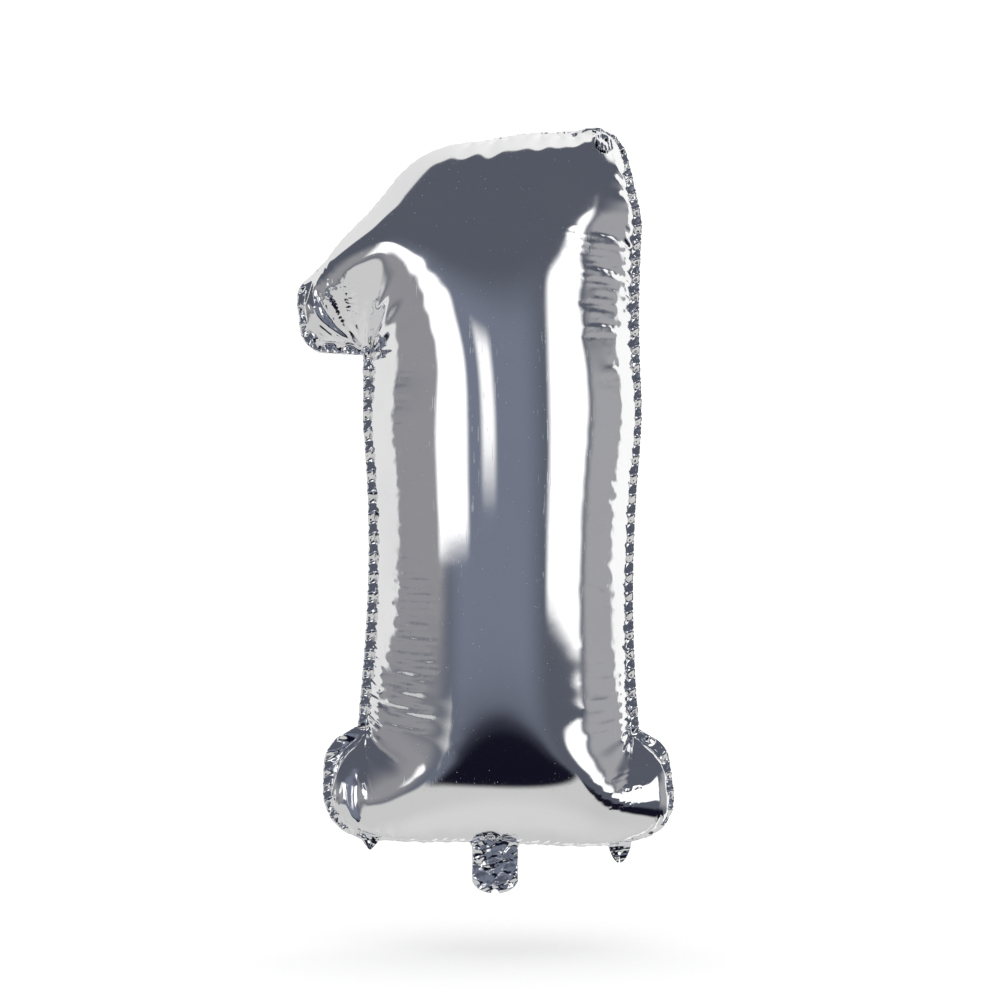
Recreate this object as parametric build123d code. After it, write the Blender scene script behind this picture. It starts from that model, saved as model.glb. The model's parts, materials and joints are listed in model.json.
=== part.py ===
from build123d import *
import math
import os

# Foil number balloon in the shape of the digit 1, filled and at rest. Millimetres.
# X is to the right, Y points to the back, Z is up. The origin is the centre of the
# filling mouth. The two films meet in the seam plane Y = 0.

# Film. A real sheet is about 0.035 mm thick; the solids use a thicker stand-in.
FILM = 0.6
SEAM_MARGIN = 8.0           # bonded flat band outside the gas space
GAP = 0.5                   # free space beside a piece that bends

# Filled body
STEM_CENTRE = 8.5
STEM_HALF_WIDTH = 120.5
BASE_HALF_WIDTH = 157.0
BODY_HALF_DEPTH = 120.0
BODY_BOTTOM = 44.0
SHOULDER = 137.0            # top of the wide foot
FLAG_CROTCH = 512.0         # where the flag leaves the stem
FLAG_REACH = 182.0          # flag tip, left of the mouth
FLAG_HALF_DEPTH = 84.0
FLAG_ROOT = 45.0            # the flag's lobe ends here, inside the head
FLAG_TOP = 690.0
BODY_TOP = 717.0
DOME_POWER = 2.6            # roundness of the side profile
ARC_PIECES = 24

# Filling neck
NECK_WIDTH = 43.0
BEND_GAP = 7.0              # free film at the neck's bend line
NECK_TOP = BODY_BOTTOM - BEND_GAP
NECK_SIDE_SEAM = 3.5
NECK_ARCH = 3.0             # rise of each ply over the channel
PASSAGE_DEPTH = 9.0         # opening from the neck into the body, front to back
MOUTH_NOTCH = 3.5           # radius of the half-round nick in the mouth edge

# Self-closing valve
VALVE_WIDTH = 32.0
VALVE_FILM = 0.35
VALVE_GAP = 0.5             # between the closed films
VALVE_FOOT = BODY_BOTTOM + 4.0
VALVE_LENGTH = 110.0
INLET_FOOT = 9.0
INLET_ARCH = 1.6

# Hanging tabs
TAB_WIDTH = 20.0
TAB_LENGTH = 15.0
TAB_HOLE_RADIUS = 1.5
TAB_HOLE_REACH = 8.0        # hole centre from the tab's bend line
TAB_ROOT = 1.5              # the bend itself, left free of material
TAB_THICKNESS = 2 * FILM    # both films, bonded together

# Corners of the seam line, anticlockwise from the lower left, as (x, z, radius).
LEFT = STEM_CENTRE - STEM_HALF_WIDTH
RIGHT = STEM_CENTRE + STEM_HALF_WIDTH
BASE_LEFT = STEM_CENTRE - BASE_HALF_WIDTH
BASE_RIGHT = STEM_CENTRE + BASE_HALF_WIDTH
OUTLINE = [
    (BASE_LEFT, BODY_BOTTOM + 16, 22),
    (BASE_LEFT + 46, BODY_BOTTOM, 100),
    (BASE_RIGHT, BODY_BOTTOM, 44),
    (BASE_RIGHT, SHOULDER, 20),
    (RIGHT, SHOULDER + 14, 9),
    (RIGHT, 570, 500),
    (RIGHT - 8, BODY_TOP - 1, 30),
    (STEM_CENTRE + 20, BODY_TOP, 180),
    (-92, BODY_TOP - 26, 60),
    (-FLAG_REACH - 3, 556, 30),
    (-FLAG_REACH, FLAG_CROTCH + 4, 22),
    (LEFT, FLAG_CROTCH, 10),
    (LEFT, SHOULDER + 14, 9),
    (BASE_LEFT, SHOULDER, 20),
]


def corner_arc(index):
    """Start, middle, end, centre and radius of one rounded corner of OUTLINE."""
    x, z, radius = OUTLINE[index]
    corner = Vector(x, z)
    before = Vector(*OUTLINE[index - 1][:2]) - corner
    after = Vector(*OUTLINE[(index + 1) % len(OUTLINE)][:2]) - corner
    before, after = before.normalized(), after.normalized()
    half = math.radians(before.get_angle(after)) / 2
    setback = radius / math.tan(half)
    inward = (before + after).normalized()
    centre = corner + inward * (radius / math.sin(half))
    middle = centre - inward * radius
    return corner + before * setback, middle, corner + after * setback, centre, radius


def seam_face():
    """The gas space's outline as one flat face, drawn in X and Z."""
    edges = []
    arcs = [corner_arc(i) for i in range(len(OUTLINE))]
    for i, (start, middle, end, _, _) in enumerate(arcs):
        edges.append(ThreePointArc(start, middle, end))
        edges.append(Line(end, arcs[(i + 1) % len(arcs)][0]))
    return make_face(Wire(edges))


def outline_points(face):
    """Points along a drawn face's rim: the corner of every straight, the arcs subdivided."""
    points = []
    for edge in face.face().outer_wire().order_edges():
        pieces = 1 if edge.geom_type == GeomType.LINE else ARC_PIECES
        points += [edge @ (i / pieces) for i in range(pieces)]
    return points


def reach(points, height):
    """Leftmost and rightmost point of a closed outline at one height."""
    crossings = []
    for i, a in enumerate(points):
        b = points[i - 1]
        if (a.Y - height) * (b.Y - height) <= 0 and a.Y != b.Y:
            share = (height - a.Y) / (b.Y - a.Y)
            crossings.append(a.X + share * (b.X - a.X))
    return min(crossings), max(crossings)


def dome(height, low, high, depth):
    """Half depth of the body at one height: a rounded side profile."""
    middle = (low + high) / 2
    u = abs(height - middle) / ((high - low) / 2)
    return depth * (1 - u**DOME_POWER) ** (1 / DOME_POWER)


def end_heights(low, high):
    """Heights near both ends of a dome, close together where it rounds off."""
    steps = [0.6, 3, 8, 15, 25, 40, 60]
    return [low + s for s in steps] + [high - s for s in steps]


def elliptic_loft(spans):
    """Solid through ellipses given as (height, left x, right x, half depth)."""
    sections = []
    for height, x0, x1, half_depth in sorted(spans):
        sections.append(Pos((x0 + x1) / 2, 0, height) * Ellipse((x1 - x0) / 2, half_depth))
    return loft(sections, ruled=True)


def balloon_body(inset):
    """Solid of the whole gas space, pulled in by inset all round."""
    face = seam_face()
    if inset:
        face = offset(face, -inset, kind=Kind.INTERSECTION)
    points = outline_points(face)

    # Foot, stem and the part of the head above the stem
    low, high = BODY_BOTTOM + inset, BODY_TOP - inset
    shoulder = [SHOULDER + s for s in (-16, -6, 4, 14, 26)]
    stem = [220, 300, 380, 460, 520, 560, 600]
    spans = []
    for height in end_heights(low, high) + shoulder + stem:
        x0, x1 = reach(points, height)
        if height > SHOULDER + 50:
            x0 = max(x0, LEFT + inset)
        spans.append((height, x0, x1, dome(height, low, high, BODY_HALF_DEPTH - inset)))
    body = elliptic_loft(spans)

    # Flag, as a lobe that grows out of the head
    low, high = FLAG_CROTCH + inset, FLAG_TOP - inset
    spans = []
    for height in end_heights(low, high):
        x0, _ = reach(points, height)
        half_depth = dome(height, low, high, FLAG_HALF_DEPTH - inset)
        spans.append((height, x0, FLAG_ROOT, half_depth))
    return body + elliptic_loft(spans)


def upright(sketch, thickness):
    """A sketch drawn in X and Z, given a thickness centred on the seam plane."""
    return Plane.XZ * extrude(sketch, thickness / 2, both=True)


def front_half(solid):
    return solid & Pos(0, -250, 400) * Box(600, 500, 1200)


def mirrored(solid):
    return mirror(solid, about=Plane.XZ)


def make_panel():
    """Front film: the dome of one side with its half of the bonded seam margin."""
    margin = offset(seam_face(), SEAM_MARGIN, kind=Kind.ARC)
    neck_slot = Pos(0, BODY_BOTTOM - SEAM_MARGIN) * Rectangle(NECK_WIDTH + 2 * GAP, 2 * SEAM_MARGIN)
    margin -= neck_slot
    film = balloon_body(0) + upright(margin, 2 * FILM)
    film -= balloon_body(FILM)
    gas_passage = Pos(0, 0, BODY_BOTTOM) * Box(VALVE_WIDTH + 4, PASSAGE_DEPTH, 6)
    return front_half(film - gas_passage)


def ply_section(width, side_seam, arch, thickness):
    """Cross-section of one arched ply with a flat seam on each side, in X and Y."""
    half = width / 2
    flat = half - side_seam
    lines = [
        Line((-half, -thickness), (-flat, -thickness)),
        ThreePointArc((-flat, -thickness), (0, -arch - thickness), (flat, -thickness)),
        Line((flat, -thickness), (half, -thickness)),
        Line((half, -thickness), (half, 0)),
        Line((half, 0), (flat, 0)),
        ThreePointArc((flat, 0), (0, -arch), (-flat, 0)),
        Line((-flat, 0), (-half, 0)),
        Line((-half, 0), (-half, -thickness)),
    ]
    return make_face(Wire(lines))


def make_neck_ply():
    """One ply of the filling neck, with its round end and the nick in the mouth."""
    half = NECK_WIDTH / 2
    round_rise = 0.62 * half
    shape = Pos(0, (NECK_TOP + round_rise) / 2) * Rectangle(NECK_WIDTH, NECK_TOP - round_rise)
    shape += Pos(0, round_rise) * Ellipse(half, round_rise)
    shape -= Circle(MOUTH_NOTCH)
    section = ply_section(NECK_WIDTH, NECK_SIDE_SEAM, NECK_ARCH, FILM)
    return extrude(section, NECK_TOP) & upright(shape, 4 * NECK_ARCH)


def make_inlet_sleeve():
    """The part of the valve inside the neck: two plies joined along their sides."""
    section = ply_section(VALVE_WIDTH, 2.5, INLET_ARCH, VALVE_FILM)
    sleeve = extrude(section, NECK_TOP - GAP - INLET_FOOT)
    return Pos(0, 0, INLET_FOOT) * (sleeve + mirrored(sleeve))


def make_valve_film():
    """Front film of the valve inside the gas space, closed against the back film."""
    shape = Rectangle(VALVE_WIDTH, VALVE_LENGTH)
    shape = fillet(shape.vertices().group_by(Axis.Y)[-1], 6)
    film = Pos(0, 0, VALVE_FOOT + VALVE_LENGTH / 2) * upright(shape, VALVE_FILM)
    return Pos(0, -(VALVE_GAP + VALVE_FILM) / 2, 0) * film


def edge_point(index, angle):
    """Point on the margin's outer edge at a corner of OUTLINE, seen from its centre."""
    _, _, _, centre, radius = corner_arc(index)
    turn = math.radians(angle)
    out = Vector(math.cos(turn), math.sin(turn)) * (radius + SEAM_MARGIN)
    return centre.X + out.X, centre.Y + out.Y


def make_tab(x, z, slope, lean):
    """Hanging tab with its bend line at x, z. lean swings it forward from straight down."""
    reach_down = TAB_LENGTH - TAB_WIDTH / 2
    shape = Pos(0, -(TAB_ROOT + reach_down) / 2) * Rectangle(TAB_WIDTH, reach_down - TAB_ROOT)
    shape += Pos(0, -reach_down) * Circle(TAB_WIDTH / 2)
    shape -= Pos(0, -TAB_ROOT / 2 + 10) * Rectangle(TAB_WIDTH, 20 + TAB_ROOT)
    shape -= Pos(0, -TAB_HOLE_REACH) * Circle(TAB_HOLE_RADIUS)
    tab = upright(shape, TAB_THICKNESS)
    return Pos(x, 0, z) * Rot(0, slope, 0) * Rot(-lean, 0, 0) * tab


TOP_RIGHT_CORNER = 6
LOWER_LEFT_CORNER = 1
LOWER_RIGHT_CORNER = 2

front_panel = make_panel()
neck_ply = make_neck_ply()
valve_film = make_valve_film()

parts = {
    "front_panel": front_panel,
    "back_panel": mirrored(front_panel),
    "neck_front_ply": neck_ply,
    "neck_back_ply": mirrored(neck_ply),
    "valve_inlet_sleeve": make_inlet_sleeve(),
    "valve_front_film": valve_film,
    "valve_back_film": mirrored(valve_film),
}

# name: corner, angle on it, angle from straight down to the front
TABS = {
    "hanging_tab_top": (TOP_RIGHT_CORNER, 66, 62),
    "hanging_tab_left": (LOWER_LEFT_CORNER, 251, 78),
    "hanging_tab_right": (LOWER_RIGHT_CORNER, 268, 32),
}
for name, (corner, angle, lean) in TABS.items():
    x, z = edge_point(corner, angle)
    slope = 90 - angle if angle < 180 else 270 - angle
    parts[name] = make_tab(x, z, slope, lean)

os.makedirs("parts", exist_ok=True)
for name, solid in parts.items():
    export_step(solid, f"parts/{name}.step")
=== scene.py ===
import json
import math

import bpy
import numpy as np
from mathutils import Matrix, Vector
from mathutils.bvhtree import BVHTree
from mathutils.kdtree import KDTree
from mathutils.geometry import delaunay_2d_cdt


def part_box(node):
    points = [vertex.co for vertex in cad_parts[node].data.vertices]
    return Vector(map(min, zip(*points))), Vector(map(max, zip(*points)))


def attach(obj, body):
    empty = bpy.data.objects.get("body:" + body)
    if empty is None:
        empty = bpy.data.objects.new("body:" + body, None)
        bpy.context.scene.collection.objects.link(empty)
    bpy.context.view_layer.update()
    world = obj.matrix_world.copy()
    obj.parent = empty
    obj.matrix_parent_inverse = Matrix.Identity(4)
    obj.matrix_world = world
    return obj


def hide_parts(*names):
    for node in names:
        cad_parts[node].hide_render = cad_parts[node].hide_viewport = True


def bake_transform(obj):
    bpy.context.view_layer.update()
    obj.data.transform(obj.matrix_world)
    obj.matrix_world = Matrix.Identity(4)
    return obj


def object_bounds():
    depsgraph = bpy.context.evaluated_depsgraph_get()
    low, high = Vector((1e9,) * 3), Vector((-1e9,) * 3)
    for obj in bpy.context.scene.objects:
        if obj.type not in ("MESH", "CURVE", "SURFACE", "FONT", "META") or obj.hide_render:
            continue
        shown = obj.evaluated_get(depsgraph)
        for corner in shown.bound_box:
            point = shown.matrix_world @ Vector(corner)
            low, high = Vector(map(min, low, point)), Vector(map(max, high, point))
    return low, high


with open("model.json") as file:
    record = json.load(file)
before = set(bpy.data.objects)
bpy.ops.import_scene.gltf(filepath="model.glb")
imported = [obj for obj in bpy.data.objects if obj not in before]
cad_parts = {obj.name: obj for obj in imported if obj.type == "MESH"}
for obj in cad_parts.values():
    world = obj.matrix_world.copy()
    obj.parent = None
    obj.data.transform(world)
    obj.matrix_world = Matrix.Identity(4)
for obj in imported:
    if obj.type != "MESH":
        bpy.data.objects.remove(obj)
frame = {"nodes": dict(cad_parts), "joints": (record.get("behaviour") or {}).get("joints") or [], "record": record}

# Foil number balloon. Two flat films are cut to one outline, joined along it and filled
# with gas in a film simulation. That gives the body, the crinkled margin and the creases
# close to the seam. The longer puckers beyond them are added to the mesh afterwards.
# Lengths are in millimetres until a mesh is made, and in metres from there on.

MM = 0.001
CAD_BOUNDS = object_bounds()

# ---------------------------------------------------------------- sizes from the frame

PANEL_LOW, PANEL_HIGH = [np.array(corner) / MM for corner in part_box("front_panel")]
PANEL_WIDTH, _, PANEL_HEIGHT = PANEL_HIGH - PANEL_LOW
NECK_LOW, NECK_HIGH = [np.array(corner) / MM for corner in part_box("neck_front_ply")]
NECK_HALF = (NECK_HIGH[0] - NECK_LOW[0]) / 2
JOINTS = {joint["name"]: joint for joint in frame["joints"]}

MARGIN = 8.0                # bonded margin outside the gas space
FILM = 0.2                  # thickness the films are shown with
OFF_SEAM = 0.02             # gap between a film and the surface it was blown to
LOOP_STEP = 4.0             # spacing of outline points where only distance to it matters

COARSE, MEDIUM, FINE = 10.0, 5.0, 2.0   # triangle sides of the three simulation meshes
FINE_BAND = 28.0            # the finest mesh is this wide beside the seam
VISIBLE_SLACK = 0.35        # share of the film's slack that folds visibly
START_SLOPE, START_REACH = 0.25, 60     # the films start parted by this much beside the seam

# Before the film buckles it is ruffled a little, the margin more than the film beside it.
RUFFLE_SEED, MARGIN_RUFFLE, FILM_RUFFLE, RUFFLE_REACH = 5, 0.4, 0.12, 15

# The middle is smoothed afterwards: none up to one distance from the seam, all from another.
SMOOTHING_ROUNDS, SMOOTHING, SMOOTHED_FROM, SMOOTHED_TO = 40, 0.3, 22, 50

MARGIN_HOLD = 0.3           # how firmly the margin follows its line, per step
MARGIN_LINE = 12            # length over which that line is averaged
SEAM_FLATNESS = 0.97        # share of the seam's distance from its plane kept per step
FAIR_SPANS = (1, 30, 60)    # lengths over which the margin stays fair

# The margin along the top and the bottom leans back, out of the seam's plane, except
# beside a hanging tab. It leans only above or below these heights, and where the margin
# points up or down by enough.
LEAN = 1.15
UP_ENOUGH, DOWN_ENOUGH = (0.2, 0.6), (0.5, 0.8)
LEAN_ABOVE = PANEL_LOW[2] + PANEL_HEIGHT * np.array([0.72, 0.78])
LEAN_BELOW = -PANEL_LOW[2] - PANEL_HEIGHT * np.array([0.06, 0.03])
TAB_CLEAR, TAB_NEAR = 28, 16

# Fine puckers run in from the seam: their spacing, how far from the seam they start, how
# much their ends vary, the spacing of points along one, and its half width.
PUCKER_SEED = 8
PUCKER_DEPTH = 0.25
PUCKER_SPACING, PUCKER_START, PUCKER_END_VARIES = (6.0, 7.4), (28, 52), 14
PUCKER_STEP, PUCKER_HALF_WIDTH, PUCKER_TAPER = 2.2, 1.25, 8
PUCKER_SIDE = -0.1          # height of the film beside a pucker, as a share of its depth
PUCKER_SEAM_GAP = 24        # puckers stay this far from every part of the seam
PUCKER_CHANCE, PUCKER_LIMIT = (0.6, 1.2), 0.3   # weak zones leave more of them out
POINT_GAP, CELL = 1.5, 0.8  # mesh points stay this far from a pucker, and it from another

# Flat cutting pattern, anticlockwise from the lower left. Each corner is its place across
# and up the filled panel, and its rounding, all as shares of the panel's width or height.
# The films shrink inward as they fill, so the flat shape is the larger one.
FLAT_PATTERN = [
    (-0.320, -0.028, 0.16), (-0.080, -0.045, 0.77), (0.175, -0.035, 1.28),
    (0.454, -0.017, 0.77), (0.660, 0.034, 0.16), (0.645, 0.155, 0.065),
    (0.574, 0.185, 0.015), (0.528, 0.642, 1.03), (0.392, 0.934, 0.3),
    (0.262, 1.062, 0.14), (-0.033, 1.054, 0.64), (-0.341, 1.012, 0.38),
    (-0.669, 0.778, 0.077), (-0.645, 0.690, 0.065), (-0.480, 0.674, 0.015),
    (-0.462, 0.561, 0.26), (-0.303, 0.120, 0.015), (-0.367, 0.088, 0.065),
]

# Where the film puckers, for the seam left and right of the middle: lower and upper end as
# shares of the height, strength, and how far in from the seam the puckers reach.
PUCKERS = {
    False: [
        (0.09, 0.14, 0.8, 60),
        (0.14, 0.36, 1.0, 95),
        (0.36, 0.66, 0.35, 80),
        (0.66, 0.80, 0.9, 85),
    ],
    True: [
        (0.09, 0.17, 0.8, 85),
        (0.17, 0.75, 0.3, 80),
        (0.75, 0.90, 1.0, 98),
    ],
}

# ---------------------------------------------------------------- flat outlines and meshes


def eased(value, start, end):
    """0 up to start, 1 from end on, and smooth between. End may be below start."""
    share = np.clip((value - start) / (end - start), 0, 1)
    return share * share * (3 - 2 * share)


def rounded_outline(corners, radii, step):
    """Closed outline through corners, each replaced by an arc of its radius."""
    points = []
    for i, corner in enumerate(corners):
        before = corners[i - 1] - corner
        after = corners[(i + 1) % len(corners)] - corner
        before /= np.linalg.norm(before)
        after /= np.linalg.norm(after)
        half = math.acos(np.clip(before @ after, -1, 1)) / 2
        inward = (before + after) / np.linalg.norm(before + after)
        centre = corner + inward * radii[i] / math.sin(half)
        start = corner + before * radii[i] / math.tan(half) - centre
        end = corner + after * radii[i] / math.tan(half) - centre
        first = math.atan2(start[1], start[0])
        sweep = (math.atan2(end[1], end[0]) - first + math.pi) % (2 * math.pi) - math.pi
        count = max(2, int(abs(sweep) * radii[i] / step))
        angles = first + sweep * np.arange(count + 1) / count
        points.append(centre + radii[i] * np.c_[np.cos(angles), np.sin(angles)])
    return np.vstack(points)


def resampled(loop, step):
    """The closed loop again, with its points step apart."""
    closed = np.vstack([loop, loop[:1]])
    along = np.r_[0, np.cumsum(np.linalg.norm(np.diff(closed, axis=0), axis=1))]
    places = np.linspace(0, along[-1], int(round(along[-1] / step)), endpoint=False)
    return np.c_[np.interp(places, along, closed[:, 0]), np.interp(places, along, closed[:, 1])]


def inside(points, loop):
    """Which points lie inside the loop."""
    x, y = points.T
    result = np.zeros(len(points), bool)
    for (x0, y0), (x1, y1) in zip(loop, np.roll(loop, -1, axis=0)):
        if y0 != y1:
            result ^= ((y0 > y) != (y1 > y)) & (x < (x1 - x0) * (y - y0) / (y1 - y0) + x0)
    return result


def distance_to(points, loop):
    """How far each point is from the loop."""
    best = np.full(len(points), np.inf)
    for a, b in zip(loop, np.roll(loop, -1, axis=0)):
        side = b - a
        share = np.clip(((points - a) @ side) / (side @ side), 0, 1)
        gap = points - (a + share[:, None] * side)
        best = np.minimum(best, np.einsum("ij,ij->i", gap, gap))
    return np.sqrt(best)


def lattice(loop, step, fine_band=None):
    """Triangular lattice inside loop. Beyond fine_band from it only every second point stays."""
    low, high = loop.min(axis=0), loop.max(axis=0)
    row_step = step * math.sqrt(3) / 2
    rows = int((high[1] - low[1]) / row_step) + 2
    columns = int((high[0] - low[0]) / step) + 2
    row, column = np.meshgrid(np.arange(rows), np.arange(columns), indexing="ij")
    skew = column - row // 2
    points = np.c_[(low[0] + (skew + 0.5 * row) * step).ravel(), (low[1] + row * row_step).ravel()]
    even = ((skew % 2 == 0) & (row % 2 == 0)).ravel()
    plain_loop = resampled(loop, max(step, LOOP_STEP))
    keep = inside(points, plain_loop)
    points, even = points[keep], even[keep]
    gap = distance_to(points, plain_loop)
    keep = gap > 0.7 * step
    if fine_band:
        keep &= (gap < fine_band) | even
    return points[keep]


def triangulated(loops, inner):
    """Points and anticlockwise triangles of the area inside the first loop, outside the rest."""
    points = np.vstack(loops + [inner])
    edges, start = [], 0
    for loop in loops:
        count = len(loop)
        edges += [(start + i, start + (i + 1) % count) for i in range(count)]
        start += count
    mesh = delaunay_2d_cdt([Vector(p) for p in points], edges, [], 1, 1e-7)
    source = np.array([origin[0] for origin in mesh[3]])
    faces = source[np.array(mesh[2], int)]
    a, b, c = points[faces[:, 0]], points[faces[:, 1]], points[faces[:, 2]]
    flip = np.cross(b - a, c - a) < 0
    faces[flip] = faces[flip][:, ::-1]
    for hole in loops[1:]:
        faces = faces[~inside((a + b + c) / 3, hole)]
    return points, faces


def clear_of(points, others, gap):
    """The points that are further than gap from all the others."""
    tree = KDTree(len(others))
    for index, (x, y) in enumerate(others):
        tree.insert((x, y, 0), index)
    tree.balance()
    return points[[tree.find((x, y, 0))[2] > gap for x, y in points]]


def pucker_points(outline):
    """Flat points of the fine puckers, and how deep each lies as a share of PUCKER_DEPTH.

    A pucker is a valley line with a line of film at about its own level on either side.
    """
    rng = np.random.default_rng(PUCKER_SEED)
    loop = resampled(outline, 1.0)
    ahead = np.roll(loop, -3, axis=0) - np.roll(loop, 3, axis=0)
    ahead /= np.linalg.norm(ahead, axis=1)[:, None]
    inward = np.c_[-ahead[:, 1], ahead[:, 0]]
    middle = (PANEL_LOW[0] + PANEL_HIGH[0]) / 2
    found, run = [], 0.0
    while run < len(loop) - 1:
        foot, way, along = loop[int(run)], inward[int(run)], ahead[int(run)]
        rise = (foot[1] - PANEL_LOW[2]) / PANEL_HEIGHT
        zones = PUCKERS[foot[0] > middle]
        strength, reach = next((z[2:] for z in zones if z[0] < rise < z[1]), (0, 0))
        start = rng.uniform(*PUCKER_START)
        end = reach + rng.uniform(-PUCKER_END_VARIES, PUCKER_END_VARIES)
        run += rng.uniform(*PUCKER_SPACING)
        if strength * rng.uniform(*PUCKER_CHANCE) < PUCKER_LIMIT * rng.random():
            continue
        inner = np.arange(start, end, PUCKER_STEP)
        from_end = np.minimum(inner - start, end - inner)
        taper = np.minimum(1, from_end / PUCKER_TAPER + 0.1)
        for side, depth in ((0, 1), (-1, PUCKER_SIDE), (1, PUCKER_SIDE)):
            line = foot + np.outer(inner, way) + side * PUCKER_HALF_WIDTH * along
            found.append(np.c_[line, depth * strength * taper])
    found = np.vstack(found)
    plain_loop = resampled(outline, LOOP_STEP)
    clear = distance_to(found[:, :2], plain_loop) > PUCKER_SEAM_GAP
    found = found[inside(found[:, :2], plain_loop) & clear]
    _, first = np.unique((found[:, :2] / CELL).astype(int), axis=0, return_index=True)
    return found[np.sort(first)]


# ---------------------------------------------------------------- film simulation


class FilmMesh:
    """Both films and the bonded margin, flat, at one resolution.

    Vertices run: seam, inside of the front film, inside of the back film, margin rows.
    """

    def __init__(self, outline, step, fine_band=None, puckers=None):
        seam = resampled(outline, step)
        inner = lattice(outline, step, fine_band)
        if puckers is not None:
            inner = np.vstack([clear_of(inner, puckers[:, :2], POINT_GAP), puckers[:, :2]])
        points, faces = triangulated([seam], inner)
        self.seam_count = n = len(seam)
        self.film_count = m = len(points)
        self.front = faces
        self.twin = np.r_[np.arange(n), m + np.arange(m - n)]
        self.back = self.twin[faces][:, ::-1]
        along = np.roll(seam, -1, axis=0) - np.roll(seam, 1, axis=0)
        along /= np.linalg.norm(along, axis=1)[:, None]
        outward = np.c_[along[:, 1], -along[:, 0]]
        self.rows = max(1, int(round(MARGIN / step)))
        flat, margin, loops = [points, points[n:]], [], [np.arange(n)]
        first = 2 * m - n
        for row in range(1, self.rows + 1):
            flat.append(seam + outward * MARGIN * row / self.rows)
            loops.append(first + np.arange(n))
            first += n
        for near, far in zip(loops, loops[1:]):
            after = np.roll(np.arange(n), -1)
            margin += [np.c_[near, far, far[after]], np.c_[near, far[after], near[after]]]
        self.flat = np.vstack(flat)
        self.margin = np.vstack(margin)
        self.loops = loops
        self.side = np.zeros(len(self.flat))
        self.side[n:m] = -1
        self.side[m:2 * m - n] = 1
        gap = distance_to(points, resampled(outline, LOOP_STEP))
        self.depth = np.r_[np.zeros(n), gap[n:], gap[n:], np.zeros(n * self.rows)]
        valley = np.zeros(m - n)
        if puckers is not None:
            valley[-len(puckers):] = puckers[:, 2]
        self.valley = np.r_[np.zeros(n), valley, valley, np.zeros(n * self.rows)]


def colour_groups(pairs, rest_length, vertex_count):
    """Pairs sorted into groups in which no vertex appears twice, so each solves at once."""
    used = [0] * vertex_count
    colour = []
    for i, j in pairs.tolist():
        taken = used[i] | used[j]
        free = ~taken & (taken + 1)
        colour.append(free.bit_length())
        used[i] |= free
        used[j] |= free
    colour = np.array(colour)
    chosen = [np.flatnonzero(colour == c) for c in range(1, colour.max() + 1)]
    return [(pairs[g, 0], pairs[g, 1], rest_length[g]) for g in chosen]


def mean_of_neighbours(values, stride):
    """Round a closed loop, the mean of the values stride places before and after each."""
    return (np.roll(values, stride, axis=0) + np.roll(values, -stride, axis=0)) / 2


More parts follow.
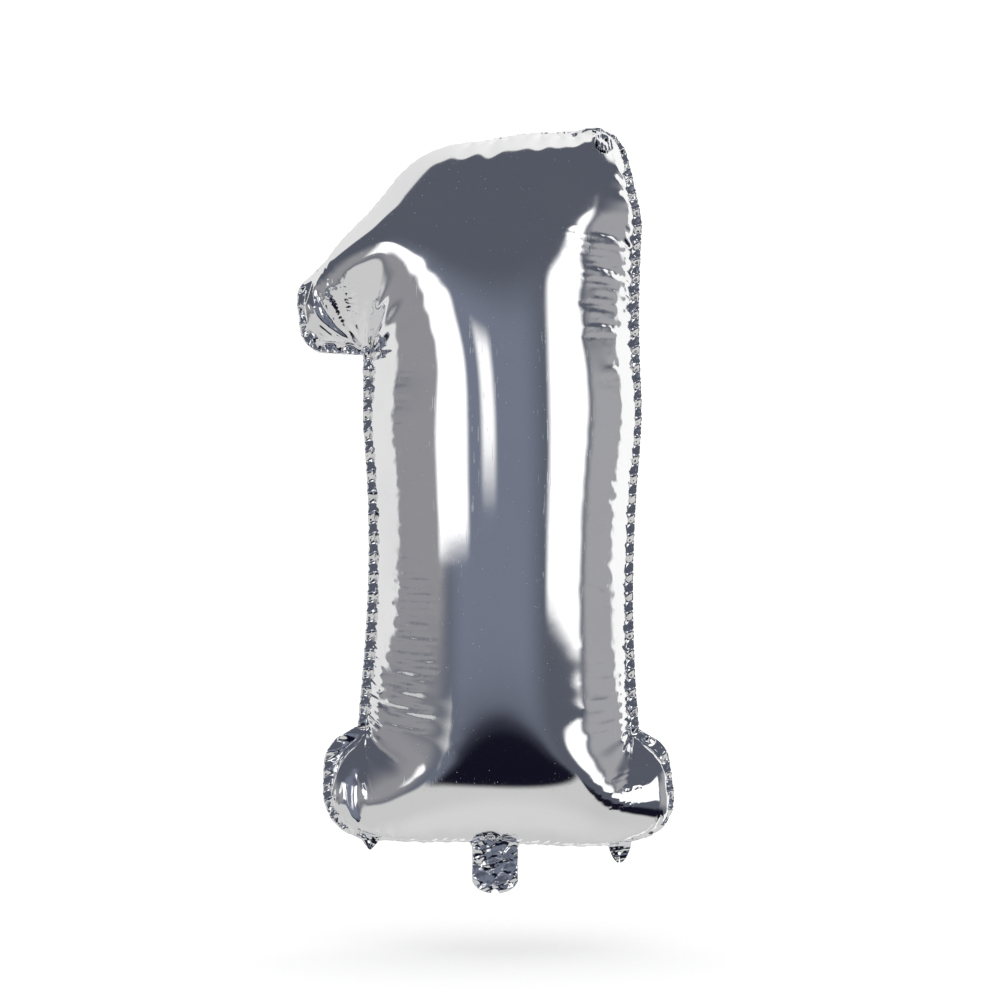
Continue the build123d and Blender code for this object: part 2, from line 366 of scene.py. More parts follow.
class FilmSolver:
    """Position-based film under gas pressure: it can't stretch, and buckles when pressed."""

    def __init__(self, mesh, places=None):
        self.mesh = mesh
        faces = np.vstack([mesh.front, mesh.back, mesh.margin])
        sides = np.vstack([faces[:, [0, 1]], faces[:, [1, 2]], faces[:, [2, 0]]])
        opposite = np.r_[faces[:, 2], faces[:, 0], faces[:, 1]]
        sides.sort(axis=1)
        key = sides[:, 0] * len(mesh.flat) + sides[:, 1]
        order = np.argsort(key, kind="stable")
        same = np.flatnonzero(np.diff(key[order]) == 0)
        self.edges = self.grouped(sides[np.unique(key, return_index=True)[1]])
        across = np.c_[opposite[order][same], opposite[order][same + 1]]
        across = across[mesh.side[across[:, 0]] * mesh.side[across[:, 1]] >= 0]
        across = across[across[:, 0] != across[:, 1]]
        self.bends = self.grouped(across)
        self.gas_faces = np.vstack([mesh.front, mesh.back])
        gas = self.gas_faces
        links = np.vstack([gas[:, [0, 1]], gas[:, [1, 2]], gas[:, [2, 0]]])
        self.links = np.unique(np.sort(links, axis=1), axis=0)
        self.valence = np.bincount(self.links.ravel(), minlength=len(mesh.flat))
        self.free = (mesh.side != 0)[:, None]
        a, b, c = (mesh.flat[self.gas_faces[:, k]] for k in range(3))
        area = np.abs(np.cross(b - a, c - a)) / 2
        share = np.bincount(self.gas_faces.ravel(), np.repeat(area / 3, 3), len(mesh.flat))
        self.push = 1 / np.where(share > 0, share, np.inf)
        if places is None:
            bulge = mesh.side * np.minimum(mesh.depth, START_REACH) * START_SLOPE
            places = np.c_[mesh.flat[:, 0], bulge, mesh.flat[:, 1]]
        self.places = places
        self.speed = np.zeros_like(places)

    def grouped(self, pairs):
        flat = self.mesh.flat
        length = np.linalg.norm(flat[pairs[:, 0]] - flat[pairs[:, 1]], axis=1)
        keep = length > 1e-6
        return colour_groups(pairs[keep], length[keep], len(flat))

    def pressure(self, amount):
        """Every point moves outward by this much, along the normals of its triangles."""
        x, faces = self.places, self.gas_faces
        normal = np.cross(x[faces[:, 1]] - x[faces[:, 0]], x[faces[:, 2]] - x[faces[:, 0]]) / 6
        spread = np.repeat(normal, 3, axis=0)
        force = [np.bincount(faces.ravel(), spread[:, k], len(x)) for k in range(3)]
        x += amount * self.push[:, None] * np.stack(force, axis=1)

    def hold_lengths(self, groups, stretch, squeeze):
        """Pairs go back to their length, by these shares when too long and when too short."""
        x = self.places
        for i, j, rest in groups:
            gap = x[i] - x[j]
            length = np.sqrt(np.einsum("ij,ij->i", gap, gap)) + 1e-12
            error = length - rest
            error = np.where(error < 0, error * squeeze, error * stretch)
            gap *= (0.5 * error / length)[:, None]
            x[i] -= gap
            x[j] += gap

    def take_up(self, share):
        """Only this share of the film's slack folds visibly; the rest stays as a fine crinkle."""
        taut = []
        for i, j, rest in self.edges:
            now = np.linalg.norm(self.places[i] - self.places[j], axis=1)
            film = (self.mesh.side[i] != 0) | (self.mesh.side[j] != 0)
            slack = np.where(film & (now < rest), (1 - share) * (rest - now), 0)
            taut.append((i, j, rest - slack))
        self.edges = taut

    def unevenness(self, q):
        """How far the mean of each point's neighbours is from it; none at the seam and margin."""
        i, j = self.links.T
        count = len(q)
        total = [np.bincount(i, q[j, k], count) + np.bincount(j, q[i, k], count) for k in range(3)]
        mean = np.stack(total, axis=1) / np.maximum(self.valence, 1)[:, None]
        return (mean - q) * self.free

    def soften(self, amount):
        """Bending stiffness: levels out curvature that changes from one point to the next."""
        self.places -= amount * self.unevenness(self.unevenness(self.places))

    def hold_margin(self, amount):
        """The bonded margin stays in line with the seam, apart from its fine crinkles."""
        loops = self.mesh.loops
        seam = self.places[loops[0]]
        step = np.linalg.norm(np.diff(self.mesh.flat[loops[0][:2]], axis=0))
        reach = int(round(MARGIN_LINE / step))
        along = np.roll(seam, -reach, axis=0) - np.roll(seam, reach, axis=0)
        outward = np.c_[along[:, 2], np.zeros(len(along)), -along[:, 0]]
        outward /= np.linalg.norm(outward, axis=1)[:, None]
        lean = LEAN * eased(outward[:, 2], *UP_ENOUGH) * eased(seam[:, 2], *LEAN_ABOVE)
        lean += LEAN * eased(-outward[:, 2], *DOWN_ENOUGH) * eased(-seam[:, 2], *LEAN_BELOW)
        for joint in frame["joints"]:
            if joint["name"].startswith("tab"):
                x, _, z = np.array(joint["pos_m"]) / MM
                lean *= eased(np.hypot(seam[:, 0] - x, seam[:, 2] - z), TAB_NEAR, TAB_CLEAR)
        outward *= np.cos(lean)[:, None]
        outward[:, 1] += np.sin(lean)
        rows = len(loops) - 1
        for row, loop in enumerate(loops[1:], 1):
            error = seam + outward * (MARGIN * row / rows) - self.places[loop]
            shifts = range(-reach, reach + 1)
            error = sum(np.roll(error, k, axis=0) for k in shifts) / len(shifts)
            self.places[loop] += amount * error
        self.places[loops[0], 1] *= SEAM_FLATNESS

    def fair_seam(self, amount, across):
        """The bonded margin resists turning in its own plane; across scales it for Y."""
        for loop in self.mesh.loops:
            flat = self.mesh.flat[loop]
            home = np.c_[flat[:, 0], np.zeros(len(loop)), flat[:, 1]]
            step = np.linalg.norm(flat[1] - flat[0])
            moved = self.places[loop] - home
            for span in FAIR_SPANS:
                stride = max(1, int(round(span / step)))
                bend = mean_of_neighbours(moved, stride) - moved
                bend -= mean_of_neighbours(bend, stride)
                bend[:, 1] *= across
                moved += amount * bend
            self.places[loop] = home + moved

    def run(
        self, steps, pressure, squeeze, bending, damping, fairing, across=1.0, guide=0.0, soft=0.0
    ):
        """Fills the film. Squeeze is how far it resists being pressed together, bending and
        soft how far it resists folds, guide how far the seam stays where it was."""
        home = [self.places[loop][:, [0, 2]].copy() for loop in self.mesh.loops]
        for _ in range(steps):
            before = self.places.copy()
            self.places += self.speed * damping
            self.pressure(pressure)
            self.hold_lengths(self.edges, 1.0, squeeze)
            self.hold_lengths(self.bends, 0.0, bending)
            if soft:
                self.soften(soft)
            self.fair_seam(fairing, across)
            self.hold_margin(MARGIN_HOLD)
            for loop, target in zip(self.mesh.loops, home):
                drift = target - self.places[loop][:, [0, 2]]
                self.places[np.ix_(loop, [0, 2])] += guide * drift
            self.speed = self.places - before


def carried_over(coarse, places, fine):
    """Places for a finer mesh of the same outline, read off a coarser one."""
    n, m = coarse.seam_count, coarse.film_count
    flat = [Vector((x, y, 0)) for x, y in coarse.flat[:m]]
    tree = BVHTree.FromPolygons(flat, coarse.front.tolist())
    count, seam = fine.film_count, fine.seam_count
    hit = [tree.find_nearest(Vector((x, y, 0)))[2] for x, y in fine.flat[:count]]
    corners = coarse.front[hit]
    a, b, c = (coarse.flat[corners[:, k]] for k in range(3))
    p = fine.flat[:count]
    whole = np.cross(b - a, c - a)
    wb = np.cross(p - a, c - a) / whole
    wc = np.cross(b - a, p - a) / whole
    weight = np.c_[1 - wb - wc, wb, wc][:, :, None]
    front = (places[corners] * weight).sum(axis=1)
    back = (places[coarse.twin[corners]] * weight).sum(axis=1)
    result = [(front[:seam] + back[:seam]) / 2, front[seam:], back[seam:]]
    reach = places[coarse.loops[-1]] - places[:n]
    reach = np.vstack([reach, reach[:1]])
    share, coarse_share = np.arange(seam) / seam, np.arange(n + 1) / n
    reach = np.stack([np.interp(share, coarse_share, reach[:, k]) for k in range(3)], axis=1)
    for row in range(1, fine.rows + 1):
        result.append(result[0] + reach * row / fine.rows)
    return np.vstack(result)


def vertex_normals(places, faces):
    """Unit normals at the points, each triangle counting by its area."""
    a, b, c = (places[faces[:, k]] for k in range(3))
    face_normal = np.cross(b - a, c - a)
    total = np.zeros_like(places)
    for k in range(3):
        np.add.at(total, faces[:, k], face_normal)
    return total / (np.linalg.norm(total, axis=1)[:, None] + 1e-12)


def filled_balloon():
    """The finest film mesh and its places when filled."""
    scale = np.array([PANEL_WIDTH, PANEL_HEIGHT])
    origin = np.array([(PANEL_LOW[0] + PANEL_HIGH[0]) / 2, PANEL_LOW[2]])
    corners = np.array([(u, v) for u, v, _ in FLAT_PATTERN]) * scale + origin
    radii = [radius * PANEL_WIDTH for _, _, radius in FLAT_PATTERN]
    outline = rounded_outline(corners, radii, 1.0)

    # large folds are pulled taut first; only the finest mesh lets the film buckle
    mesh = FilmMesh(outline, COARSE)
    solver = FilmSolver(mesh)
    inflating = {"squeeze": 0.0, "fairing": 0.25}
    solver.run(350, 0.03, bending=0.05, damping=0.98, soft=0.1, **inflating)
    solver.run(100, 0.012, bending=0.05, damping=0.95, soft=0.1, **inflating)
    coarse, mesh = mesh, FilmMesh(outline, MEDIUM)
    solver = FilmSolver(mesh, carried_over(coarse, solver.places, mesh))
    solver.run(90, 0.008, bending=0.1, damping=0.97, soft=0.2, **inflating)

    coarse, mesh = mesh, FilmMesh(outline, FINE, FINE_BAND)
    places = carried_over(coarse, solver.places, mesh)
    on_film = FILM_RUFFLE * np.exp(-mesh.depth / RUFFLE_REACH)
    ruffle = np.where(mesh.side == 0, MARGIN_RUFFLE, on_film)
    noise = np.random.default_rng(RUFFLE_SEED).normal(0, 1, places.shape)
    solver = FilmSolver(mesh, places + noise * ruffle[:, None])
    solver.take_up(VISIBLE_SLACK)
    solver.run(
        160, 0.0012, squeeze=1.0, bending=0.02, damping=0.95, fairing=0.15, across=0.0,
        guide=0.2,
    )

    # the same mesh with the puckers' points in it, smoothed away from the seam
    plain, mesh = mesh, FilmMesh(outline, FINE, FINE_BAND, pucker_points(outline))
    places = carried_over(plain, solver.places, mesh)
    places[mesh.side == 0] = solver.places[plain.side == 0]
    solver = FilmSolver(mesh, places)
    for _ in range(SMOOTHING_ROUNDS):
        solver.soften(SMOOTHING * eased(mesh.depth, SMOOTHED_FROM, SMOOTHED_TO)[:, None])
    outward = vertex_normals(solver.places, np.vstack([mesh.front, mesh.back]))
    solver.places -= outward * mesh.valley[:, None] * PUCKER_DEPTH

    seam = solver.places[:mesh.seam_count]
    middle = (seam.min(axis=0) + seam.max(axis=0)) / 2
    panel_middle = (PANEL_LOW + PANEL_HIGH) / 2
    shift = panel_middle - middle
    shift[1] = -seam[:, 1].mean()
    return mesh, solver.places + shift


# ---------------------------------------------------------------- film pieces


def film_piece(name, places, faces, material, near=OFF_SEAM, far=OFF_SEAM + FILM):
    """A sheet as a closed thin solid between two offsets along its normals, in metres."""
    used = np.unique(faces)
    renumber = np.full(len(places), -1)
    renumber[used] = np.arange(len(used))
    places, faces = places[used], renumber[faces]
    normals = vertex_normals(places, faces)
    count = len(places)
    sides = np.vstack([faces[:, [0, 1]], faces[:, [1, 2]], faces[:, [2, 0]]])
    key = np.sort(sides, axis=1) @ np.array([count, 1])
    _, first, times = np.unique(key, return_index=True, return_counts=True)
    rim = sides[first[times == 1]]
    walls = np.c_[rim[:, 1], rim[:, 0], rim[:, 0] + count, rim[:, 1] + count]
    vertices = np.vstack([places + normals * far, places + normals * near]) * MM
    polygons = faces.tolist() + (faces[:, ::-1] + count).tolist() + walls.tolist()
    mesh = bpy.data.meshes.new(name)
    mesh.from_pydata(vertices.tolist(), [], polygons)
    mesh.polygons.foreach_set("use_smooth", [True] * (2 * len(faces)) + [False] * len(walls))
    mesh.materials.append(material)
    mesh.update()
    piece = bpy.data.objects.new(name, mesh)
    bpy.context.scene.collection.objects.link(piece)
    return piece


def folds(u, v, seed, folds_per_mm, height, count=9, lean=0.0, spread=math.pi):
    """Height of crumpled film at u, v: a sum of sharp-edged folds in mixed directions.

    The directions are spread round lean, and the mean height is close to nought.
    """
    rng = np.random.default_rng(seed)
    total = np.zeros_like(u)
    for k in range(count):
        angle = lean + spread * (rng.random() - 0.5)
        pitch = (1 + 1.6 * rng.random()) / folds_per_mm
        phase = (u * math.cos(angle) + v * math.sin(angle)) / pitch + rng.random()
        total += np.abs((phase % 1) * 2 - 1) * rng.uniform(0.4, 1.0)
    return height * (total / count - 0.35)


# ---------------------------------------------------------------- node helpers


class Nodes:
    """Short calls for building one node tree."""

    def __init__(self, tree):
        self.tree = tree
        tree.nodes.clear()

    def add(self, kind, inputs=None, **settings):
        node = self.tree.nodes.new(kind)
        for key, value in settings.items():
            setattr(node, key, value)
        for key, value in (inputs or {}).items():
            self.put(node.inputs[key], value)
        return node

    def put(self, socket, value):
        if isinstance(value, bpy.types.NodeSocket):
            self.tree.links.new(value, socket)
        else:
            socket.default_value = value

    def math(self, operation, a, b=0.0, c=0.0):
        node = self.add("ShaderNodeMath", operation=operation)
        for socket, value in zip(node.inputs, (a, b, c)):
            self.put(socket, value)
        return node.outputs[0]

    def ease(self, value, start, end, low=0.0, high=1.0):
        inputs = {"Value": value, "From Min": start, "From Max": end, "To Min": low, "To Max": high}
        node = self.add("ShaderNodeMapRange", inputs, interpolation_type="SMOOTHSTEP")
        return node.outputs[0]

    def mix(self, share, a, b):
        node = self.add("ShaderNodeMix", data_type="RGBA")
        self.put(node.inputs[0], share)
        self.put(node.inputs[6], a)
        self.put(node.inputs[7], b)
        return node.outputs[2]

    def noise(self, vector, scale, detail=2.0, roughness=0.5):
        inputs = {"Vector": vector, "Scale": scale, "Detail": detail, "Roughness": roughness}
        return self.add("ShaderNodeTexNoise", inputs).outputs["Fac"]

    def stretched(self, vector, scale):
        return self.add("ShaderNodeMapping", {"Vector": vector, "Scale": scale}).outputs[0]


def new_material(name):
    material = bpy.data.materials.new(name)
    material.use_nodes = True
    return material, Nodes(material.node_tree)


# ---------------------------------------------------------------- materials


def foil_material(name, tint, wave):
    """Bright metallised film: faint waviness, fine scratches, smudges and dust."""
    material, n = new_material(name)
    where = n.add("ShaderNodeTexCoord").outputs["Object"]
    smudge = n.ease(n.noise(where, 9.0, 4.0), 0.45, 0.75)
    scratch = n.noise(n.stretched(where, (900, 900, 40)), 1.0, 2.0)
    scratch = n.ease(scratch, 0.66, 0.74)
    speck = n.add("ShaderNodeTexVoronoi", {"Vector": where, "Scale": 160.0}).outputs["Distance"]
    speck = n.math("LESS_THAN", speck, 0.05)
    rough = n.math("MULTIPLY_ADD", smudge, 0.05, 0.05)
    rough = n.math("MULTIPLY_ADD", scratch, 0.08, rough)
    rough = n.math("MULTIPLY_ADD", speck, 0.3, rough)
    colour = n.mix(n.math("MULTIPLY", smudge, 0.35), tint, (0.80, 0.80, 0.83, 1))
    height = n.math("MULTIPLY", n.noise(where, 32.0, 3.0, 0.4), wave)
    height = n.math("MULTIPLY_ADD", scratch, -0.00001, height)
    height = n.math("MULTIPLY_ADD", speck, 0.00006, height)
    bump = n.add("ShaderNodeBump", {"Height": height, "Strength": 1.0, "Distance": 1.0})
    inputs = {"Base Color": colour, "Metallic": 1.0, "Roughness": rough, "Normal": bump.outputs[0]}
    surface = n.add("ShaderNodeBsdfPrincipled", inputs)
    n.add("ShaderNodeOutputMaterial", {"Surface": surface.outputs[0]})
    return material


def valve_material():
    """Clear, lightly frosted polyethylene film."""
    material, n = new_material("valve_film")
    where = n.add("ShaderNodeTexCoord").outputs["Object"]
    cloud = n.noise(n.stretched(where, (60, 60, 12)), 1.0, 3.0)
    height = n.math("MULTIPLY", n.noise(where, 300.0, 2.0), 0.0001)
    bump = n.add("ShaderNodeBump", {"Height": height, "Distance": 1.0})
    inputs = {
        "Base Color": n.mix(cloud, (0.86, 0.88, 0.90, 1), (0.95, 0.96, 0.97, 1)),
        "Roughness": n.math("MULTIPLY_ADD", cloud, 0.2, 0.25),
        "Transmission Weight": 0.6,
        "IOR": 1.51,
        "Normal": bump.outputs[0],
    }
    surface = n.add("ShaderNodeBsdfPrincipled", inputs)
    n.add("ShaderNodeOutputMaterial", {"Surface": surface.outputs[0]})
    return material


FOIL = foil_material("foil", (0.95, 0.95, 0.955, 1), 0.00004)
CRUMPLED_FOIL = foil_material("foil_crumpled", (0.90, 0.905, 0.92, 1), 0.0002)
VALVE = valve_material()

# ---------------------------------------------------------------- the films

mesh, places = filled_balloon()
NECK_SLOT = NECK_HALF + 0.5
NECK_TOP = PANEL_LOW[2] + 3 * MARGIN    # the neck leaves the margin somewhere below this


def outside_neck(faces):
    """Margin faces apart from those where the neck passes through."""
    centre = places[faces].mean(axis=1)
    return faces[~((np.abs(centre[:, 0]) < NECK_SLOT) & (centre[:, 2] < NECK_TOP))]


margin = outside_neck(mesh.margin)
front_faces, back_faces = np.vstack([mesh.front, margin]), np.vstack([mesh.back, margin[:, ::-1]])
front = film_piece("front_film", places, front_faces, FOIL)
back = film_piece("back_film", places, back_faces, FOIL)
for piece, node in ((front, "front_panel"), (back, "back_panel")):
    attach(piece, "balloon")
    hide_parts(node)


# ---------------------------------------------------------------- filling neck


NECK_STEP = 0.7             # triangle side
NECK_FLARE = 5              # how much wider the neck is at its root, on each side
FLARE_LENGTH, SETTLE_LENGTH = 8, 9  # below its root: where it is plain, where fully crumpled
NECK_ARCH, NECK_EDGE = 2.4, 0.15    # how far a ply bulges, and stays from its plane at the edge
MOUTH_NICK = 3.6            # radius of the nick in the mouth
ROUND_END = 0.62            # height of the round end, as a share of the neck's half width


def make_neck():
    """Both plies of the tail: a flat pouch, crumpled, with a round end and a nicked mouth."""
    seam = places[:mesh.seam_count]
    foot = seam[(np.abs(seam[:, 0]) < NECK_HALF) & (seam[:, 2] < NECK_TOP)]
    root = foot[:, 2].mean() + 2.0
    end_rise = ROUND_END * NECK_HALF
    turn = np.linspace(math.pi, 2 * math.pi, 60)
    end = np.c_[NECK_HALF * np.cos(turn), end_rise + end_rise * np.sin(turn)]
    end = end[np.hypot(end[:, 0], end[:, 1]) > MOUTH_NICK]
    turn = np.linspace(math.pi * 0.98, math.pi * 0.02, 12)
    nick = np.c_[MOUTH_NICK * np.cos(turn), 0.4 + MOUTH_NICK * np.sin(turn)]
    left, right = end[end[:, 0] < 0], end[end[:, 0] > 0]
    wide, below = NECK_HALF + NECK_FLARE, root - FLARE_LENGTH
    top = [(NECK_HALF, below), (wide, root), (-wide, root), (-NECK_HALF, below)]
    outline = resampled(np.vstack([left, nick, right, top]), NECK_STEP)
    points, faces = triangulated([outline], lattice(outline, NECK_STEP))

    u, v = points.T
    half = NECK_HALF + NECK_FLARE * eased(v, below, root)
    arch = NECK_ARCH * np.sqrt(np.clip(1 - (u / half) ** 2, 0, 1)) + NECK_EDGE
    settle = eased(v, root, root - SETTLE_LENGTH)
    large = folds(u, v, 11, 0.07, height=17.0, count=7, lean=math.pi / 2, spread=1.9) * settle
    small = folds(u, v, 12, 0.15, height=6.0, count=7) * settle
    for side, ply in ((-1, "front"), (1, "back")):
        film = np.c_[u, side * arch + large + small, v]
        piece = film_piece("neck_" + ply + "_film", film, faces[:, ::-side], CRUMPLED_FOIL)
        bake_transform(piece)
        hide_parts("neck_" + ply + "_ply")


make_neck()

# ---------------------------------------------------------------- hanging tabs


FAR_IN_FRONT = -400


def in_front_of(tree, where, gap):
    """The same points, brought forward where they would be inside the filled body."""
    where = where.copy()
    for point in where:
        hit = tree.ray_cast(Vector((point[0], FAR_IN_FRONT, point[2])), Vector((0, 1, 0)))[0]
        if hit is not None:
            point[1] = min(point[1], hit[1] - gap)
    return where


TAB_STEP = 0.5              # triangle side
TAB_ROOT = 5.0              # how far the film runs on inside the margin
ROOT_FLARE = (1, 2.5)       # how much wider each side is at the bend line and at that end
TAB_HALF_FILM = 0.3         # half the thickness a tab is shown with
CRUMPLED_GAP = 0.8          # crumpled film stays this far in front of the body
PATH_POINTS = 300


def lobe_outline(half_width, length, nick, nick_foot):
    """Flat outline of a tab: a round-ended lobe that widens at its root, nicked or not."""
    turn = np.linspace(0, math.pi, 41)
    lobe = np.c_[half_width * np.cos(turn), length - half_width * (1 - np.sin(turn))]
    if nick:
        apex = [(nick, length - 0.5), (0, nick_foot), (-nick, length - 0.5)]
        lobe = np.vstack([lobe[lobe[:, 0] > nick], apex, lobe[lobe[:, 0] < -nick]])
    bend_line, end = half_width + ROOT_FLARE[0], half_width + ROOT_FLARE[1]
    root = [(-bend_line, 0), (-end, -TAB_ROOT), (end, -TAB_ROOT), (bend_line, 0)]
    return resampled(np.vstack([lobe, root]), TAB_STEP)


def make_tab(name, seed, hanging, bend, curl, gather, crumple, nick, stretch, pull, drape):
    """A lobe of bonded film beyond the margin, with its hole, bent over at its root.

    It starts out along the margin and turns to the direction hanging between the two
    distances in bend. Curl turns its outer half, gather is the share by which its end is
    narrower, crumple the height of its folds, nick the half width of the nick in its end,
    stretch its length against the CAD tab's, pull how far in over the margin it starts, and
    drape its gap to the body before it is crumpled.
    """
    node = "hanging_" + name
    joint = JOINTS[name + "_flap"]
    hole = next(m for m in frame["record"]["mounts"] if m["name"] == name + "_hole")
    hinge, across = np.array(joint["pos_m"]) / MM, np.array(joint["axis"])
    outward = np.array(hole["pos_m"]) / MM - hinge
    hole_reach = np.linalg.norm(outward)
    outward /= hole_reach
    hanging = np.array(hanging) / np.linalg.norm(hanging)
    hole_radius = hole["dims"]["r_mm"]
    corners = np.array([v.co for v in frame["nodes"][node].data.vertices]) / MM - hinge
    half_width = np.ptp(corners @ across) / 2
    length = (corners @ outward).max() + 2

    # the film's edge as it came out of the simulation, beside the tab's bend line
    edge, seam = places[mesh.loops[-1]], places[mesh.loops[0]]
    nearest = np.hypot(edge[:, 0] - hinge[0], edge[:, 2] - hinge[2]).argmin()
    beside = (nearest + np.arange(-3, 4)) % len(edge)
    start = edge[beside].mean(axis=0)
    margin_way = start - seam[beside].mean(axis=0)
    margin_way /= np.linalg.norm(margin_way)
    start -= margin_way * pull

    # the flat film, with its hole
    lobe = lobe_outline(half_width, length, nick, hole_reach + hole_radius + 1.2)
    turn = np.linspace(0, 2 * math.pi, 24, endpoint=False)
    ring = hole_radius * np.c_[np.cos(turn), np.sin(turn)] + [0, hole_reach]
    inner = lattice(lobe, TAB_STEP)
    inner = inner[np.hypot(inner[:, 0], inner[:, 1] - hole_reach) > hole_radius + 0.35]
    points, faces = triangulated([lobe, ring], inner)
    u, w = points.T
    w = w * stretch
    length *= stretch

    # the line it hangs along
    steps = np.linspace(-TAB_ROOT, length + 1, PATH_POINTS)
    share = eased(steps, *bend)[:, None]
    way = margin_way * (1 - share) + hanging * share
    way += np.outer(curl * eased(steps, length * 0.5, length), np.cross(across, hanging))
    way /= np.linalg.norm(way, axis=1)[:, None]
    path = np.cumsum(way, axis=0) * (steps[1] - steps[0])
    path -= [np.interp(0, steps, path[:, k]) for k in range(3)]
    path = np.stack([np.interp(w, steps, path[:, k]) for k in range(3)], axis=1)
    way = np.stack([np.interp(w, steps, way[:, k]) for k in range(3)], axis=1)

    # draped over the body, then crumpled
    raise_by = folds(u, w, seed, 0.14, crumple, 7) + folds(u, w, seed + 1, 0.35, crumple / 2.5, 6)
    raise_by *= eased(w, -0.5, 4)
    u = u * (1 - gather * eased(w, 0, length))
    where = in_front_of(FRONT_TREE, start + path + np.outer(u, across), drape)
    where += raise_by[:, None] * np.cross(across, way)
    where = in_front_of(FRONT_TREE, where, CRUMPLED_GAP)
    piece = film_piece(
        name + "_film", where, faces, CRUMPLED_FOIL, near=-TAB_HALF_FILM, far=TAB_HALF_FILM
    )
    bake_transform(piece)
    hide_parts(node)


FRONT_TREE = BVHTree.FromPolygons([Vector(p) for p in places], mesh.front.tolist())
make_tab(
    "tab_top", 21, hanging=(-0.15, -0.4, -1), bend=(-2, 2), curl=0.5, gather=0.0,
    crumple=7.0, nick=0, stretch=1.3, pull=1, drape=4.0,
)
make_tab(
    "tab_left", 22, hanging=(0.1, 0.25, -1), bend=(-1, 4), curl=0.0, gather=0.6,
    crumple=3.0, nick=0, stretch=0.85, pull=5, drape=0.8,
)
make_tab(
    "tab_right", 23, hanging=(0, 0.3, -1), bend=(-1, 4), curl=0.0, gather=0.35,
    crumple=3.0, nick=1.0, stretch=1.1, pull=0, drape=0.8,
)

# ---------------------------------------------------------------- valve

for node in ("valve_inlet_sleeve", "valve_front_film", "valve_back_film"):
    shown = frame["nodes"][node]
    shown.data.materials.clear()
    shown.data.materials.append(VALVE)

# ---------------------------------------------------------------- studio

# What the foil mirrors: a dark studio with a pale backdrop and floor, grey side walls and
# three soft lights. Angles are in degrees from straight towards the camera, positive to the
# right and up. Each row has its left and right end, lower and upper end, the softness of its
# edges sideways and upright, and its brightness.
SURROUND = (0.09, 0.10, 0.13)
BELOW_CAMERA, BELOW_RISE = (0.006, 0.006, 0.015), (-24, -19)    # darker below these angles
STUDIO = [
    (-55, 30, -20, 20, 16, 8, (0.17, 0.19, 0.25)),      # curtain behind the camera
    (-120, -62, -14, 9, 8, 8, (0.28, 0.28, 0.30)),      # left wall
    (84, 124, -16, 12, 6, 8, (0.36, 0.36, 0.38)),       # right wall
    (-66, -36, -6, 14, 3, 1.5, (1.4, 1.4, 1.4)),        # left soft box
    (-22, -10, -2, 10, 3, 3, (1.1, 1.1, 1.1)),          # strip light
    (41, 79, -10, 21, 4, 1.5, (1.4, 1.4, 1.4)),         # right soft box
]


# The backdrop fills every direction whose y is above an edge; y is 1 straight back and 0
# straight to the side. The edge differs from left to right, over the angles BACKDROP_TURN.
# Further up, over BACKDROP_RISE, it goes to BACKDROP_TOP all round, and over CEILING_RISE it
# goes up again by CEILING. BACKDROP is its brightness at the left and at the right.
BACKDROP = (0.78, 1.0)
BACKDROP_TURN, BACKDROP_EDGE = (-20, 20), (0.38, 0.53)
BACKDROP_RISE, BACKDROP_TOP = (10, 42), 0.16
CEILING_RISE, CEILING = (50, 68), 0.17
BACKDROP_SOFT = 0.03

# The floor ends in an arc: its rise grows with the square of the angle to the side, up to a
# limit, and dips again over ARC_DIP_TURN. ARC_END is where that end lies straight in front,
# as its two soft sides. FLOOR_SEEN is the floor's brightness, over the angles FLOOR_RISE.
FLOOR_SEEN, FLOOR_RISE = (0.68, 0.60), (-80, -47)
ARC_RISE, ARC_LIMIT = 0.0115, 2900.0
ARC_DIP, ARC_DIP_TURN = 18, (50, 60)
ARC_END = (-53, -47.5)

CAMERA_SEES = 1.2           # strength of the white room to camera and diffuse rays


def grey(level):
    return (level, level, level, 1)


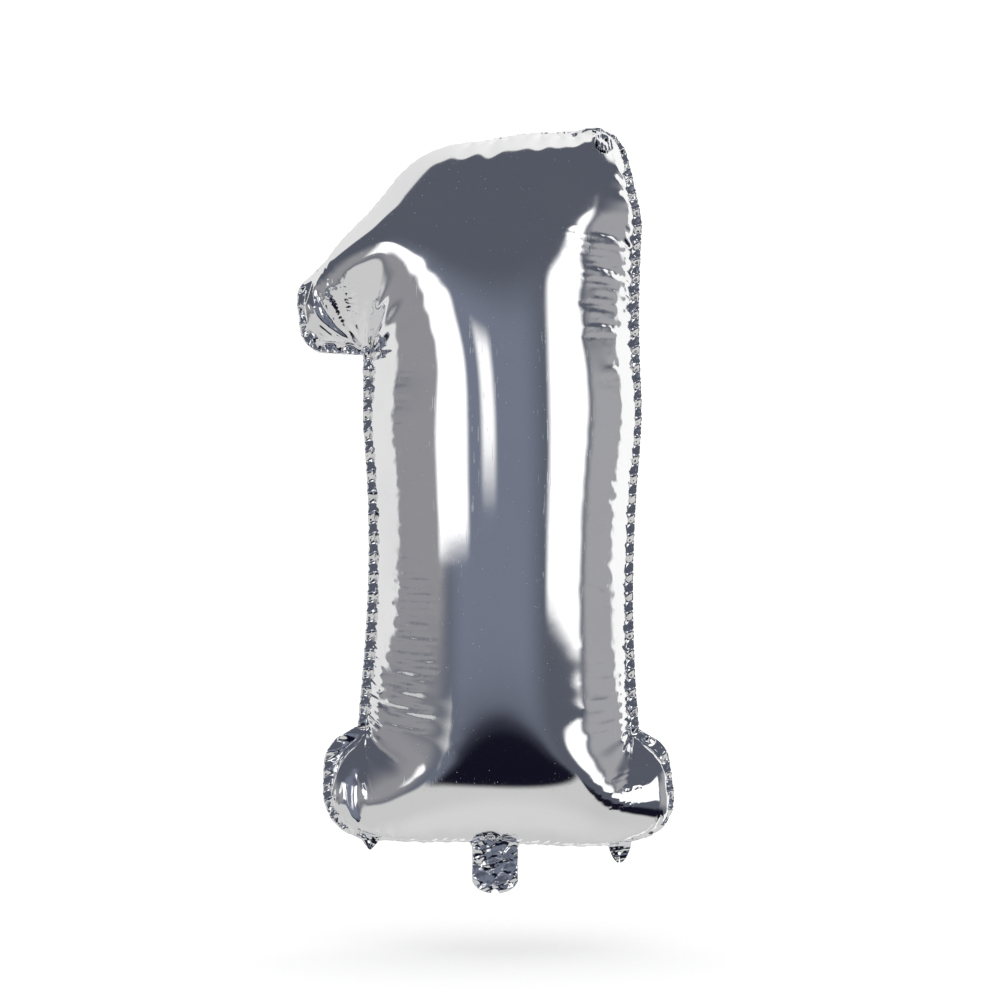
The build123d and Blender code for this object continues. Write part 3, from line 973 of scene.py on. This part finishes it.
def make_world():
    """White to the camera, and the plain studio above to what the foil mirrors."""
    world = bpy.data.worlds.new("studio")
    world.use_nodes = True
    bpy.context.scene.world = world
    n = Nodes(world.node_tree)
    ray = n.add("ShaderNodeLightPath").outputs
    direction = n.add("ShaderNodeTexCoord").outputs["Generated"]
    x, y, z = n.add("ShaderNodeSeparateXYZ", {"Vector": direction}).outputs
    toward = n.math("MULTIPLY", y, -1.0)
    side = n.math("DEGREES", n.math("ARCTAN2", x, toward))
    rise = n.math("DEGREES", n.math("ARCSINE", z))

    room = n.mix(n.ease(rise, *BELOW_RISE), BELOW_CAMERA + (1,), SURROUND + (1,))
    for left, right, low, high, soft, soft_rise, light in STUDIO:
        shape = n.ease(side, left - soft, left + soft)
        shape = n.math("MULTIPLY", shape, n.ease(side, right - soft, right + soft, 1, 0))
        shape = n.math("MULTIPLY", shape, n.ease(rise, low - soft_rise, low + soft_rise))
        shape = n.math("MULTIPLY", shape, n.ease(rise, high - soft_rise, high + soft_rise, 1, 0))
        room = n.mix(shape, room, light + (1,))

    backdrop = n.mix(n.ease(x, -0.5, 0.6), grey(BACKDROP[0]), grey(BACKDROP[1]))
    lower = n.ease(rise, *BACKDROP_RISE, 1, 0)
    edge = n.math("MULTIPLY", n.ease(side, *BACKDROP_TURN, *BACKDROP_EDGE), lower)
    edge = n.math("ADD", edge, n.ease(rise, *BACKDROP_RISE, 0, BACKDROP_TOP))
    edge = n.math("ADD", edge, n.ease(rise, *CEILING_RISE, 0, CEILING))
    behind = n.ease(n.math("SUBTRACT", y, edge), -BACKDROP_SOFT, BACKDROP_SOFT)
    room = n.mix(behind, room, backdrop)

    floor = n.mix(n.ease(rise, *FLOOR_RISE), grey(FLOOR_SEEN[0]), grey(FLOOR_SEEN[1]))
    arc = n.math("MINIMUM", n.math("MULTIPLY", side, side), ARC_LIMIT)
    arc = n.math("MULTIPLY", arc, ARC_RISE)
    arc = n.math("SUBTRACT", arc, n.ease(side, *ARC_DIP_TURN, 0, ARC_DIP))
    room = n.mix(n.ease(n.math("SUBTRACT", rise, arc), *ARC_END), floor, room)

    glossy = n.add("ShaderNodeBackground", {"Color": room, "Strength": 1.0})
    plain = n.add("ShaderNodeBackground", {"Color": grey(1), "Strength": CAMERA_SEES})
    mixed = {0: ray["Is Glossy Ray"], 1: plain.outputs[0], 2: glossy.outputs[0]}
    mixed = n.add("ShaderNodeMixShader", mixed)
    n.add("ShaderNodeOutputWorld", {"Surface": mixed.outputs[0]})


FLOOR_RADIUS, FLOOR_GAP = 0.9, 0.05     # metres; the balloon hangs just above the floor


def make_floor(radius):
    """Pale round floor that fades out, so that the white room runs on behind it."""
    bpy.ops.mesh.primitive_circle_add(vertices=128, radius=radius, fill_type="NGON")
    floor = bpy.context.object
    floor.name = "floor"
    floor.location = (0, 0, -FLOOR_GAP)
    material, n = new_material("floor")
    where = n.add("ShaderNodeTexCoord").outputs["Object"]
    away = n.add("ShaderNodeVectorMath", {0: where}, operation="LENGTH").outputs["Value"]
    grain = n.noise(where, 400.0)
    colour = n.mix(grain, (0.90, 0.90, 0.90, 1), (0.94, 0.94, 0.94, 1))
    pale = n.add("ShaderNodeBsdfDiffuse", {"Color": colour})
    clear = n.add("ShaderNodeBsdfTransparent")
    mirrored = n.add("ShaderNodeLightPath").outputs["Is Glossy Ray"]
    fade = n.math("MAXIMUM", n.ease(away, radius * 0.35, radius * 0.98), mirrored)
    mixed = n.add("ShaderNodeMixShader", {0: fade, 1: pale.outputs[0], 2: clear.outputs[0]})
    n.add("ShaderNodeOutputMaterial", {"Surface": mixed.outputs[0]})
    floor.data.materials.append(material)


HEIGHT_SEEN, CAMERA_DISTANCE = 0.94, 3.2
CAMERA_SHIFT = (0.014, 0.007)           # right and up, to frame it as the photograph does
SENSOR = 36


def make_camera(height_seen, distance):
    """Straight in front, level with the middle of the balloon, through a long lens."""
    camera = bpy.data.objects.new("camera", bpy.data.cameras.new("camera"))
    bpy.context.scene.collection.objects.link(camera)
    middle_x = (CAD_BOUNDS[0][0] + CAD_BOUNDS[1][0]) / 2
    middle_z = (CAD_BOUNDS[0][2] + CAD_BOUNDS[1][2]) / 2
    camera.location = (middle_x + CAMERA_SHIFT[0], -distance, middle_z + CAMERA_SHIFT[1])
    camera.rotation_euler = (math.pi / 2, 0, 0)
    camera.data.sensor_width = SENSOR
    camera.data.lens = SENSOR * distance / height_seen
    camera.data.clip_end = 20
    bpy.context.scene.camera = camera


make_world()
make_floor(FLOOR_RADIUS)
make_camera(HEIGHT_SEEN, CAMERA_DISTANCE)
bpy.context.scene.view_settings.view_transform = "Standard"
